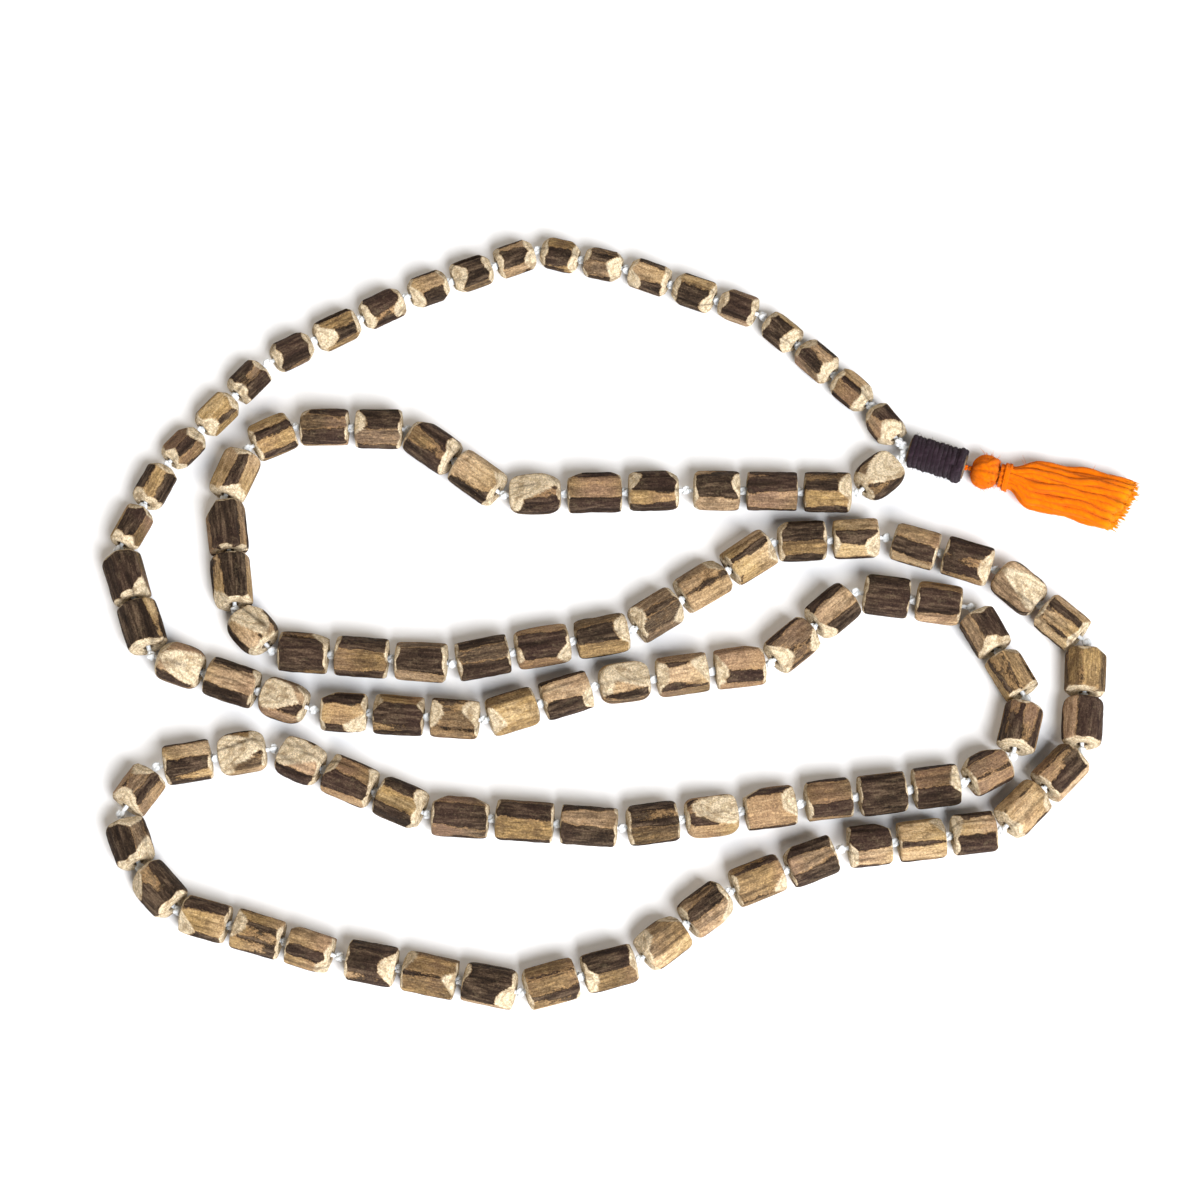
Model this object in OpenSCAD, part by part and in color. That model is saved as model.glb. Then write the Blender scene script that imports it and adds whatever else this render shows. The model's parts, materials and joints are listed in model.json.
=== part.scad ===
// Prayer-bead strand of whittled wooden beads on a knotted cotton thread, with a
// thread-wound guru bead and a wool tassel, laid out flat in loose bends.
// Millimetres, +Z up. The strand lies on z = 0 and the origin is under its middle.

/* [Beads] */
// Flat-to-flat width of a large bead
large_width = 7.6; // [7:0.1:7.7]
// Flat-to-flat width of a small bead
small_width = 6.2; // [5.6:0.1:6.6]
// Number of small beads, counted from the guru
small_count = 20; // [10:1:30]
// Depth and length of the knife-cut chamfer on each bead end
chamfer = 1.1; // [0.8:0.1:1.4]
// Width of the drilled hole
bore_width = 2; // [1.8:0.1:2.4]

/* [Thread] */
// Width of the cotton thread
thread_width = 0.9; // [0.6:0.1:1]
// Width of the knot between two beads
knot_width = 1.7; // [1.4:0.1:1.8]
// Distance from a knot's middle to the bead on each side of it
knot_gap = 1; // [0.9:0.05:1.1]
// The same distance at the knots where a lobe of the strand folds
fold_gap = 1.5; // [1.5:0.05:1.7]

/* [Guru] */
// Length of the guru bead
guru_length = 11; // [9:0.5:12]
// Width of the wooden core inside the winding
core_width = 4.6; // [4:0.1:5]
// Width of the winding over its ridges
winding_width = 6.4; // [6:0.1:6.6]
// Width of the collar at the tassel end
collar_width = 7; // [6.8:0.1:7.2]
// Number of turns in the winding
winding_turns = 9; // [6:1:12]

/* [Tassel] */
// Width of the ball head
head_width = 6.4; // [6:0.1:6.8]
// Width of the neck under the tie
neck_width = 4.4; // [4:0.1:5]
// Length of the skirt below the tie
skirt_length = 21.5; // [18:0.5:26]
// Width of the skirt's cut end, lying flat
skirt_width = 12.4; // [10:0.2:13]
// Thickness of the skirt, lying flat
skirt_thickness = 6.4; // [5:0.2:6.8]

/* [Hidden] */
// The strand as straight runs between bends, in order from the guru and back to it:
// [x, y, number of beads on the run that starts here]
ROUTE = [
    [56, 30.5, 1],
    [51, 38, 3],
    [31, 57, 3],
    [5, 67, 2],
    [-12, 71, 3],
    [-37, 61, 3],
    [-63, 47, 3],
    [-81, 26, 2],
    [-89, 8.5, 2],
    [-82, -12.5, 3],
    [-52, -23, 3],
    [-21, -25, 2],
    [-1, -18.5, 3],
    [31, -14, 2],
    [47, 0, 2],
    [68, -3, 2],
    [77.5, -21, 1],
    [74.5, -32, 1],
    [65.5, -37, 3],
    [36, -41, 3],
    [4, -45.5, 3],
    [-31, -43, 3],
    [-59, -30.5, 2],
    [-80, -34, 1],
    [-86, -43, 1],
    [-82, -53, 1],
    [-75, -61, 3],
    [-46, -69.5, 3],
    [-14, -76, 2],
    [7, -70, 2],
    [23, -57.5, 2],
    [43, -49.5, 3],
    [72, -46, 2],
    [87, -31, 2],
    [89, -10, 2],
    [73, 4.5, 2],
    [53, 11, 2],
    [32, 10, 3],
    [6, -7.5, 3],
    [-27, -14, 3],
    [-60, -11.5, 1],
    [-67, -3.5, 2],
    [-70, 18.5, 1],
    [-66, 29, 1],
    [-57, 33.5, 2],
    [-36, 33, 2],
    [-18, 19.5, 3],
    [16, 20.5, 3],
    [48, 20, 1],
];
// Where the last run ends, beside the guru
ROUTE_END = [56, 27];
// The knot where both ends of the thread enter the guru
JOIN = [57.5, 29];
// Moves the laid-out strand so that the origin is under its middle
SHIFT = [-3.5, 3];
// The parts of the strand that fold up off the surface, each about the line through
// the knots at its two ends: [name, first bead, last bead]. The first one passes the guru.
LOBES = [["guru_end", 105, 4], ["left_lobe", 16, 25], ["right_lobe", 71, 81], ["lower_lobe", 54, 61]];
// Headings of the guru and of the tassel, in degrees from +X
guru_heading = -19;
tassel_heading = -15;
// Distances from the middle of the join knot to the guru, from the guru to the middle of
// the swivel knot, and from there to the ball head. Both knots sit partly in the guru's bore.
guru_start = 0.3;
swivel_gap = 0.1;
head_gap = 0.6;
// How much thicker the doubled thread inside the guru is than the thread of the strand
doubled_thread = 1.5;
// Clear gap between a knot and the thread beside it, and between a wound sleeve and its core
pivot_clearance = 0.1;
sleeve_clearance = 0.05;
// Clear gap to either side of a bend's middle plane
bend_clearance = 0.16;
// How deep the grooves of the winding are, and how long its collar is
ridge_depth = 0.25;
collar_length = 1.6;
// Width of the swivel knot, and length of the tie and of the bare neck on each side of it
swivel_width = 1;
tie_length = 1.2;
tie_width = 5.4;
neck_margin = 0.2;
// How far the cut end of the skirt is turned, in degrees
skirt_slant = -15;
// The shoulder of the skirt: its distance below the tie and its share of the full width
skirt_shoulder = 4;
shoulder_share = 0.84;
// The cut end's share of the full thickness, and the thickness of the slabs that shape the skirt
cut_share = 0.9;
slab = 0.2;
// The fewest sides that a bead is whittled to
fewest_sides = 7;
// Facets of round parts, and of the skirt's ovals
round_facets = 48;
oval_facets = 32;

run_count = len(ROUTE);
guru_height = collar_width / 2;
// Number of the first bead on each run, and the number of beads in all
FIRST = [for (run = 0, bead = 1; run < run_count; bead = bead + ROUTE[run][2], run = run + 1) bead];
bead_count = FIRST[run_count - 1] + ROUTE[run_count - 1][2] - 1;

// Distance from a knot's middle to the thread on each side of it
knot_reach = knot_width / 2 + pivot_clearance;
through_width = doubled_thread * thread_width;

function three_digits(n) = n < 10 ? str("00", n) : n < 100 ? str("0", n) : str(n);
function last_bead(run) = FIRST[run] + ROUTE[run][2] - 1;
function run_name(run) = ROUTE[run][2] == 1
    ? str("bead_", three_digits(FIRST[run]))
    : str("beads_", three_digits(FIRST[run]), "_", three_digits(last_bead(run)));

// Half the flat-to-flat width of a bead: the last one is as high as the guru
function flat_radius(bead) = bead == bead_count ? guru_height
    : bead <= small_count ? small_width / 2 : large_width / 2;
function sides(bead) = fewest_sides + bead % 3;
function corner_radius(bead, count) = flat_radius(bead) / cos(180 / count);

// A bend is numbered by the run that starts there; the last one is where the strand ends
function bend_height(bend) = bend == 0 || bend == run_count ? guru_height
    : max(flat_radius(FIRST[bend] - 1), flat_radius(FIRST[bend]));
function bend_plan(bend) = (bend == run_count ? ROUTE_END : [ROUTE[bend][0], ROUTE[bend][1]]) + SHIFT;
function bend_point(bend) = [bend_plan(bend)[0], bend_plan(bend)[1], bend_height(bend)];
function run_vector(run) = bend_point(run + 1) - bend_point(run);
function heading(v) = atan2(v[1], v[0]);
function climb(v) = atan2(v[2], norm([v[0], v[1]]));
// Angle through which the strand turns at a bend
function turn(bend) = bend == 0 || bend == run_count ? 0
    : abs((heading(run_vector(bend)) - heading(run_vector(bend - 1)) + 540) % 360 - 180);

// The lobe that a bead belongs to, counted from 1; 0 is the part that stays put
function in_lobe(bead, lobe) = lobe[1] > lobe[2] ? bead >= lobe[1] || bead <= lobe[2]
    : bead >= lobe[1] && bead <= lobe[2];
function lobe_of(bead) = max([0, for (i = [0 : len(LOBES) - 1]) if (in_lobe(bead, LOBES[i])) i + 1]);
// Whether the strand folds at this bend
function folds_at(bend) = bend > 0 && bend < run_count
    && lobe_of(FIRST[bend] - 1) != lobe_of(FIRST[bend]);

// Distance from a bend to the end of the bead beside it, so that turning beads stay clear
function bend_gap(bend, bead) =
    let (half = turn(bend) / 2, radius = corner_radius(bead, fewest_sides))
    let (face = (radius - chamfer) * tan(half) + bend_clearance / cos(half))
    let (side = radius * tan(half) + bend_clearance / cos(half) - chamfer)
    max(folds_at(bend) ? fold_gap : knot_gap, face, side);

// Puts what is drawn along +X from a point, in the direction of a vector
module along(point, v) {
    translate(point) rotate([0, -climb(v), heading(v)]) children();
}

// A round bar along +X from one distance to another
module bar(start, end, width) {
    translate([start, 0, 0]) rotate([0, 90, 0]) cylinder(h = end - start, d = width, $fn = round_facets);
}

// One whittled bead along +X, lying on one of its flats
module bead(number, start, end) {
    length = end - start;
    count = sides(number);
    corner = corner_radius(number, count);
    translate([start, 0, 0]) rotate([0, 90, 0]) difference() {
        intersection() {
            rotate([0, 0, 180 / count]) cylinder(h = length, r = corner, $fn = count);
            rotate_extrude($fn = round_facets) polygon([
                [0, 0],
                [corner - chamfer, 0],
                [corner + chamfer, 2 * chamfer],
                [corner + chamfer, length - 2 * chamfer],
                [corner - chamfer, length],
                [0, length],
            ]);
        }
        translate([0, 0, -1]) cylinder(h = length + 2, d = bore_width, $fn = round_facets);
    }
}

// The beads of one straight run
module bead_run(run) {
    v = run_vector(run);
    beads = ROUTE[run][2];
    pitch = norm(v) / beads;
    color(run % 3 == 0 ? "tan" : run % 3 == 1 ? "saddlebrown" : "burlywood")
    along(bend_point(run), v) for (i = [0 : beads - 1]) {
        before = i == 0 ? bend_gap(run, FIRST[run]) : knot_gap;
        after = i == beads - 1 ? bend_gap(run + 1, last_bead(run)) : knot_gap;
        bead(FIRST[run] + i, i * pitch + before, (i + 1) * pitch - after);
    }
}

// The thread and its knots on one lobe: a bar between each two knots, just clear of both.
// A knot where the strand folds stays with lobe 0.
module thread(lobe) {
    color("white") for (run = [0 : run_count - 1]) if (lobe_of(FIRST[run]) == lobe) {
        v = run_vector(run);
        beads = ROUTE[run][2];
        pitch = norm(v) / beads;
        along(bend_point(run), v) {
            for (i = [0 : beads - 1])
                bar(i * pitch + knot_reach, (i + 1) * pitch - knot_reach, thread_width);
            for (i = [1 : 1 : beads - 1]) translate([i * pitch, 0, 0]) knot();
        }
        if (lobe == 0 || !folds_at(run)) translate(bend_point(run)) knot();
        if (run == run_count - 1 || (lobe == 0 && folds_at(run + 1))) translate(bend_point(run + 1)) knot();
    }
}

module knot() {
    sphere(d = knot_width, $fn = round_facets);
}

// Where the two ends of the strand join at the guru, and where the tassel swivels
join_point = [JOIN[0] + SHIFT[0], JOIN[1] + SHIFT[1], guru_height];
guru_end_distance = guru_start + guru_length;
swivel_distance = guru_end_distance + swivel_gap;
swivel_point = join_point + swivel_distance * [cos(guru_heading), sin(guru_heading), 0];

module at_guru() {
    translate(join_point) rotate([0, 0, guru_heading]) children();
}

module at_tassel() {
    translate(swivel_point) rotate([0, 0, tassel_heading]) children();
}

// The thread of the guru end also joins both ends and runs through the guru
module thread_guru_end() {
    thread(1);
    color("white") {
        for (point = [bend_point(0), bend_point(run_count)]) {
            v = join_point - point;
            along(point, v) bar(knot_reach, norm(v) - knot_reach, thread_width);
        }
        at_guru() {
            knot();
            bar(knot_reach, swivel_distance - swivel_width / 2 - pivot_clearance, through_width);
        }
    }
}

module guru_core() {
    color("sienna") at_guru() difference() {
        bar(guru_start, guru_end_distance, core_width);
        bar(guru_start - 1, guru_end_distance + 1, bore_width);
    }
}

// Thread wound round the core in close turns, with a thicker collar at the tassel end
module guru_winding() {
    inner = core_width / 2 + sleeve_clearance;
    crest = winding_width / 2;
    wound = guru_length - collar_length;
    pitch = wound / winding_turns;
    ridges = [for (i = [0 : winding_turns - 1], part = [0, 0.5])
        [part == 0 ? crest - ridge_depth : crest, (i + part) * pitch]];
    color("#33222e") at_guru() translate([guru_start, 0, 0]) rotate([0, 90, 0])
        rotate_extrude($fn = round_facets) polygon(concat([[inner, 0]], ridges, [
            [crest - ridge_depth, wound],
            [collar_width / 2 - ridge_depth, wound],
            [collar_width / 2, wound + collar_length / 4],
            [collar_width / 2, guru_length - collar_length / 4],
            [collar_width / 2 - ridge_depth, guru_length],
            [inner, guru_length],
        ]));
}

// The knot between the guru and the tassel, about which the tassel swivels
module tassel_knot() {
    color("orangered") translate(swivel_point) sphere(d = swivel_width, $fn = round_facets);
}

head_end = head_gap + head_width;
tie_start = head_end + sleeve_clearance + neck_margin;
skirt_start = tie_start + tie_length + neck_margin;

// The ball of yarn, with the short loop that it hangs from
module tassel_head() {
    color("darkorange") at_tassel() {
        bar(swivel_width / 2 + pivot_clearance, head_gap + head_width / 2, swivel_width);
        translate([head_gap + head_width / 2, 0, 0]) sphere(d = head_width, $fn = round_facets);
    }
}

// Yarn bound round the neck
module tassel_tie() {
    color("orangered") at_tassel() difference() {
        bar(tie_start, tie_start + tie_length, tie_width);
        bar(tie_start - 1, tie_start + tie_length + 1, neck_width + 2 * sleeve_clearance);
    }
}

// A flat oval slab across the skirt, with its lowest point on the surface
module skirt_oval(distance, width, thickness, slant) {
    translate([skirt_start + distance, 0, thickness / 2 - guru_height]) rotate([0, 90, slant])
        scale([thickness, width, 1]) cylinder(h = slab, d = 1, $fn = oval_facets);
}

// The bare neck and the loose yarns, lying flat
module tassel_skirt() {
    color("orange") at_tassel() {
        bar(head_end + sleeve_clearance, skirt_start, neck_width);
        hull() {
            bar(skirt_start, skirt_start + slab, neck_width);
            skirt_oval(skirt_shoulder, shoulder_share * skirt_width, skirt_thickness, 0);
            skirt_oval(skirt_length - slab, skirt_width, cut_share * skirt_thickness, skirt_slant);
        }
    }
}

for (run = [0 : run_count - 1]) bead_run(run);
thread(0);  // thread_main
thread_guru_end();
thread(2);  // thread_left_lobe
thread(3);  // thread_right_lobe
thread(4);  // thread_lower_lobe
guru_core();
guru_winding();
tassel_knot();
tassel_head();
tassel_tie();
tassel_skirt();
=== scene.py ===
import json
import math

import bpy
import numpy as np
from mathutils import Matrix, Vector


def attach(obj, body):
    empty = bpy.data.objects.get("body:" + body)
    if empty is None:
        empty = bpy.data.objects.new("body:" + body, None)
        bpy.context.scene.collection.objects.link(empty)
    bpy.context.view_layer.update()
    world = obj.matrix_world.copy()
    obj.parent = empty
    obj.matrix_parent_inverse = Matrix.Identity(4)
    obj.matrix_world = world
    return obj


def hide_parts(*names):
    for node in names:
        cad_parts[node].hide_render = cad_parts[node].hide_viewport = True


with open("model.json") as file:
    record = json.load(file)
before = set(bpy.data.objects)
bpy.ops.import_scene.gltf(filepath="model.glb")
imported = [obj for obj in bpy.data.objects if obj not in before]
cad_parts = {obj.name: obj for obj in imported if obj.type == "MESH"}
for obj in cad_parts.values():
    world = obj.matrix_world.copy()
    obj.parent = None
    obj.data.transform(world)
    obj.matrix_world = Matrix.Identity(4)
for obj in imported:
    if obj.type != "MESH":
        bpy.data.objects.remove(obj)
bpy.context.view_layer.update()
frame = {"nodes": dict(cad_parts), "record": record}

MM = 0.001
ANY_ANGLE = 6.28
RECORD = frame["record"]
JOINTS = {joint["name"]: joint for joint in RECORD["behaviour"]["joints"]}
BODY_OF_NODE = {
    node: body for body, nodes in RECORD["behaviour"]["bodies"].items() for node in nodes
}


# ---------------------------------------------------------------- camera and light

CAMERA_ELEVATION = 68.0
CAMERA_DISTANCE = 0.6475
CAMERA_LENS = 105.0
CAMERA_TARGET = Vector((-0.0035, 0.003, 0.0))
# The room gives little light, but is pale where it is seen past the floor
WORLD_LIGHT = 0.14
WORLD_SEEN = 1.0


def make_camera():
    data = bpy.data.cameras.new("camera")
    data.lens = CAMERA_LENS
    data.sensor_width = 36.0
    data.clip_start = 0.01
    data.clip_end = 20.0
    camera = bpy.data.objects.new("camera", data)
    bpy.context.scene.collection.objects.link(camera)
    lift = math.radians(CAMERA_ELEVATION)
    back = Vector((0.0, -math.cos(lift), math.sin(lift)))
    camera.location = CAMERA_TARGET + back * CAMERA_DISTANCE
    camera.rotation_mode = "QUATERNION"
    camera.rotation_quaternion = (-back).to_track_quat("-Z", "Y")
    bpy.context.scene.camera = camera


def area_light(name, place, size, watts, colour):
    data = bpy.data.lights.new(name, "AREA")
    data.shape = "DISK"
    data.size = size
    data.energy = watts
    data.color = colour
    light = bpy.data.objects.new(name, data)
    bpy.context.scene.collection.objects.link(light)
    light.location = place
    light.rotation_mode = "QUATERNION"
    light.rotation_quaternion = (-Vector(place)).to_track_quat("-Z", "Y")


def make_light():
    world = bpy.data.worlds.new("studio")
    bpy.context.scene.world = world
    world.use_nodes = True
    nodes, links = world.node_tree.nodes, world.node_tree.links
    background = nodes["Background"]
    background.inputs["Color"].default_value = (1.0, 0.965, 0.92, 1.0)
    strength = nodes.new("ShaderNodeMapRange")
    strength.inputs["To Min"].default_value = WORLD_LIGHT
    strength.inputs["To Max"].default_value = WORLD_SEEN
    links.new(nodes.new("ShaderNodeLightPath").outputs["Is Camera Ray"], strength.inputs["Value"])
    links.new(strength.outputs["Result"], background.inputs["Strength"])
    area_light("key", place=(0.46, -0.86, 0.92), size=0.85, watts=42.0, colour=(0.96, 0.975, 1.0))
    area_light("fill", place=(-0.6, 0.55, 1.0), size=0.7, watts=5.5, colour=(1.0, 0.88, 0.73))
    view = bpy.context.scene.view_settings
    view.view_transform = "Standard"
    view.look = "None"


# ---------------------------------------------------------------- shader helpers

class Shader:
    """A material's node tree, with short calls for what the materials below share."""

    def __init__(self, name, roughness, sheen=0.0):
        self.material = bpy.data.materials.new(name)
        self.material.use_nodes = True
        self.tree = self.material.node_tree
        self.surface = self.tree.nodes["Principled BSDF"]
        self.surface.inputs["Roughness"].default_value = roughness
        self.surface.inputs["Specular IOR Level"].default_value = 0.3
        self.surface.inputs["Sheen Weight"].default_value = sheen

    def node(self, kind, **settings):
        made = self.tree.nodes.new(kind)
        for name, value in settings.items():
            setattr(made, name, value)
        return made

    def link(self, source, target):
        self.tree.links.new(source, target)

    def attribute(self, name, output="Vector"):
        return self.node("ShaderNodeAttribute", attribute_name=name).outputs[output]

    def split(self, name):
        """The red, green, blue and alpha of a colour attribute."""
        source = self.node("ShaderNodeAttribute", attribute_name=name)
        parts = self.node("ShaderNodeSeparateColor")
        self.link(source.outputs["Color"], parts.inputs["Color"])
        return [*parts.outputs, source.outputs["Alpha"]]

    def put(self, socket, value):
        if isinstance(value, bpy.types.NodeSocket):
            self.link(value, socket)
        elif isinstance(value, tuple) and len(value) == 3 and socket.type == "RGBA":
            socket.default_value = (*value, 1.0)
        else:
            socket.default_value = value

    def scaled(self, coordinates, scale):
        mapping = self.node("ShaderNodeMapping")
        mapping.inputs["Scale"].default_value = scale
        self.link(coordinates, mapping.inputs["Vector"])
        return mapping.outputs["Vector"]

    def noise(self, coordinates, scale=1.0, detail=4.0, roughness=0.6, distortion=0.0):
        made = self.node("ShaderNodeTexNoise")
        self.link(coordinates, made.inputs["Vector"])
        made.inputs["Scale"].default_value = scale
        made.inputs["Detail"].default_value = detail
        made.inputs["Roughness"].default_value = roughness
        made.inputs["Distortion"].default_value = distortion
        return made.outputs["Fac"]

    def math(self, operation, a, b=0.0, c=0.0, clamp=False):
        made = self.node("ShaderNodeMath", operation=operation, use_clamp=clamp)
        for socket, value in zip(made.inputs, (a, b, c)):
            self.put(socket, value)
        return made.outputs[0]

    def span(self, value, low, high):
        """0 below low, 1 above high, smooth between."""
        made = self.node("ShaderNodeMapRange", interpolation_type="SMOOTHSTEP")
        self.put(made.inputs["Value"], value)
        made.inputs["From Min"].default_value = low
        made.inputs["From Max"].default_value = high
        return made.outputs["Result"]

    def ramp(self, value, *stops):
        made = self.node("ShaderNodeValToRGB")
        self.link(value, made.inputs["Fac"])
        elements = made.color_ramp.elements
        while len(elements) < len(stops):
            elements.new(0.5)
        for element, (place, colour) in zip(elements, stops):
            element.position = place
            element.color = (*colour, 1.0)
        return made.outputs["Color"]

    def mix(self, share, a, b, blend="MIX"):
        made = self.node("ShaderNodeMix", data_type="RGBA", blend_type=blend)
        self.put(made.inputs["Factor"], share)
        self.put(made.inputs[6], a)
        self.put(made.inputs[7], b)
        return made.outputs[2]

    def bump(self, height, distance, strength=1.0):
        made = self.node("ShaderNodeBump")
        made.inputs["Strength"].default_value = strength
        made.inputs["Distance"].default_value = distance
        self.link(height, made.inputs["Height"])
        self.link(made.outputs["Normal"], self.surface.inputs["Normal"])

    def colour(self, value):
        self.put(self.surface.inputs["Base Color"], value)


# ---------------------------------------------------------------- materials

def bead_material():
    """Whittled wood. mask holds bark, painted shade in the grooves and the bore, end cut and tone; grain
    holds the place in mm, with x along the bead, so streaks run lengthways and growth rings circle the bore."""
    s = Shader("whittled_wood", 0.8)
    s.surface.inputs["Specular IOR Level"].default_value = 0.1
    grain = s.attribute("grain")
    bark, painted_groove_and_bore_shade, cut, tone = s.split("mask")
    streak = s.noise(s.scaled(grain, (0.2, 1.35, 1.35)), 1.0, 6.0, 0.68, 0.3)
    line = s.noise(s.scaled(grain, (0.15, 3.0, 3.0)), 1.0, 3.0, 0.6, 0.2)
    fibre = s.noise(s.scaled(grain, (0.8, 7.0, 7.0)), 1.0, 4.0, 0.7)
    blotch = s.noise(s.scaled(grain, (0.4, 0.5, 0.5)), 1.0, 4.0, 0.62)
    speck = s.noise(grain, 3.0, 5.0, 0.78)
    grit = s.noise(grain, 2.7, 4.0, 0.82)
    bead = s.noise(s.scaled(grain, (0.031, 0.02, 0.02)), 1.0, 1.0)
    other = s.noise(s.scaled(grain, (0.047, 0.02, 0.02)), 1.0, 1.0)
    mottle = s.noise(s.scaled(grain, (0.7, 0.95, 0.95)), 1.0, 5.0, 0.74)

    shade = s.math("ADD", tone, s.math("MULTIPLY", s.math("SUBTRACT", streak, 0.5), 1.5))
    shade = s.math("ADD", shade, s.math("MULTIPLY", s.math("SUBTRACT", mottle, 0.5), 0.7))
    gold = s.ramp(shade, (0.0, (0.048, 0.030, 0.015)), (0.3, (0.150, 0.096, 0.042)),
                  (0.62, (0.35, 0.235, 0.098)), (1.0, (0.58, 0.44, 0.24)))
    tan = s.ramp(shade, (0.0, (0.055, 0.038, 0.027)), (0.3, (0.175, 0.122, 0.080)),
                 (0.62, (0.42, 0.295, 0.180)), (1.0, (0.70, 0.55, 0.37)))
    wood = s.mix(s.span(bead, 0.42, 0.6), gold, tan)
    wood = s.mix(s.math("MULTIPLY", s.span(fibre, 0.45, 0.72), 0.35), wood, (0.52, 0.39, 0.23))
    wood = s.mix(s.math("MULTIPLY", s.span(blotch, 0.5, 0.64), 0.55), wood, (0.125, 0.078, 0.04))
    wood = s.mix(s.math("MULTIPLY", s.span(other, 0.5, 0.62), 0.35), wood, (0.38, 0.23, 0.16))
    wood = s.mix(s.math("MULTIPLY", s.span(line, 0.56, 0.64), 0.4), wood, (0.07, 0.042, 0.024))

    rind = s.ramp(streak, (0.34, (0.010, 0.007, 0.005)), (0.49, (0.045, 0.029, 0.019)),
                  (0.64, (0.17, 0.120, 0.080)))
    rind = s.mix(s.math("MULTIPLY", s.span(speck, 0.5, 0.7), 0.6), rind, (0.14, 0.095, 0.068))
    rind = s.mix(s.math("MULTIPLY", s.span(other, 0.45, 0.6), 0.3), rind, (0.08, 0.042, 0.038))
    rind = s.mix(s.math("MULTIPLY", s.span(mottle, 0.54, 0.64), 0.5), rind, (0.15, 0.115, 0.072))
    # Painted shade: the bark goes near black in the grooves, darker where they are deeper
    rind = s.mix(s.math("MULTIPLY", painted_groove_and_bore_shade, 0.92), rind, (0.010, 0.007, 0.006))

    parts = s.node("ShaderNodeSeparateXYZ")
    s.link(grain, parts.inputs["Vector"])
    across = s.node("ShaderNodeCombineXYZ")
    s.link(parts.outputs["Y"], across.inputs["X"])
    s.link(parts.outputs["Z"], across.inputs["Y"])
    radius = s.node("ShaderNodeVectorMath", operation="LENGTH")
    s.link(across.outputs["Vector"], radius.inputs[0])
    wander = s.math("MULTIPLY", s.noise(grain, 0.6, 4.0), 7.0)
    rings = s.math("SINE", s.math("ADD", s.math("MULTIPLY", radius.outputs["Value"], 7.5), wander))
    pale = s.mix(s.span(rings, 0.0, 1.0), (0.70, 0.61, 0.45), (0.53, 0.44, 0.30))
    pale = s.mix(s.math("MULTIPLY", s.span(speck, 0.47, 0.68), 0.55), pale, (0.38, 0.28, 0.17))
    pale = s.mix(s.math("MULTIPLY", s.span(blotch, 0.5, 0.66), 0.7), pale, (0.27, 0.19, 0.105))

    bare = s.mix(cut, wood, pale)
    edge = s.math("ADD", bark, s.math("MULTIPLY", s.math("SUBTRACT", speck, 0.5), 0.8))
    edge = s.math("ADD", edge, s.math("MULTIPLY", s.math("SUBTRACT", streak, 0.5), 1.4))
    edge = s.math("ADD", edge, s.math("MULTIPLY", s.math("SUBTRACT", mottle, 0.5), 1.6))
    covered = s.span(edge, 0.4, 0.62)
    colour = s.mix(s.math("MULTIPLY", s.span(edge, 0.2, 0.4), 0.6), bare, (0.43, 0.27, 0.13))
    colour = s.mix(covered, colour, rind)
    # Painted shade: grooves and the bore wall darken, on bare wood as well as on bark
    colour = s.mix(s.math("MULTIPLY", painted_groove_and_bore_shade, 0.8), colour, (0.03, 0.018, 0.012))
    gritty = s.ramp(grit, (0.3, (0.36, 0.30, 0.26)), (0.5, (0.88, 0.83, 0.78)), (0.68, (1.6, 1.52, 1.38)))
    colour = s.mix(0.9, colour, gritty, "MULTIPLY")
    s.colour(colour)
    height = s.math("ADD", s.math("MULTIPLY", fibre, 0.6), s.math("MULTIPLY", speck, 0.8))
    height = s.math("ADD", height, s.math("MULTIPLY", s.math("MULTIPLY", speck, covered), 1.4))
    height = s.math("ADD", height, s.math("MULTIPLY", covered, 0.6))
    s.bump(height, 0.00028, 0.95)
    return s.material


def yarn_material(name, dark, middle, light, tip, depth, fuzz_scale, sheen):
    """Spun yarn. mask holds the painted shade in the hollows between the plies, the tip share and the tone;
    grain holds the place in mm.
    """
    s = Shader(name, 0.95, sheen)
    s.surface.inputs["Specular IOR Level"].default_value = 0.06
    s.surface.inputs["Sheen Roughness"].default_value = 0.5
    grain = s.attribute("grain")
    painted_hollow_shade, end, tone, _ = s.split("mask")
    fibre = s.noise(s.scaled(grain, (1.1, 5.0, 1.0)), fuzz_scale, 5.0, 0.7)
    patch = s.noise(grain, 0.35, 3.0, 0.6)
    colour = s.ramp(fibre, (0.3, dark), (0.52, middle), (0.74, light))
    colour = s.mix(s.math("MULTIPLY", s.span(patch, 0.45, 0.7), 0.35), colour, light)
    # Painted shade: the hollows between the plies take the dark colour
    colour = s.mix(s.math("MULTIPLY", painted_hollow_shade, 0.8), colour, dark)
    # tone darkens whole yarns: random tone, and in the tassel ball painted shade in its crease and core
    colour = s.mix(s.math("MULTIPLY", tone, 0.35), colour, dark)
    colour = s.mix(s.math("MULTIPLY", end, 0.75), colour, tip)
    s.colour(colour)
    s.bump(fibre, depth, 0.9)
    return s.material


def core_material():
    """Turned wood, seen only through the ends of the guru's winding."""
    s = Shader("guru_core_wood", 0.7)
    place = s.node("ShaderNodeTexCoord").outputs["Object"]
    streak = s.noise(s.scaled(place, (300.0, 900.0, 900.0)), 1.0, 4.0)
    s.colour(s.ramp(streak, (0.3, (0.10, 0.06, 0.035)), (0.7, (0.27, 0.18, 0.10))))
    s.bump(streak, 0.0001)
    return s.material


def floor_material():
    s = Shader("floor_paper", 0.9)
    place = s.node("ShaderNodeTexCoord").outputs["Object"]
    tint = s.noise(place, 2.5, 3.0)
    s.colour(s.mix(tint, (0.85, 0.855, 0.87), (0.875, 0.875, 0.88)))
    return s.material


# ---------------------------------------------------------------- meshes

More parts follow.
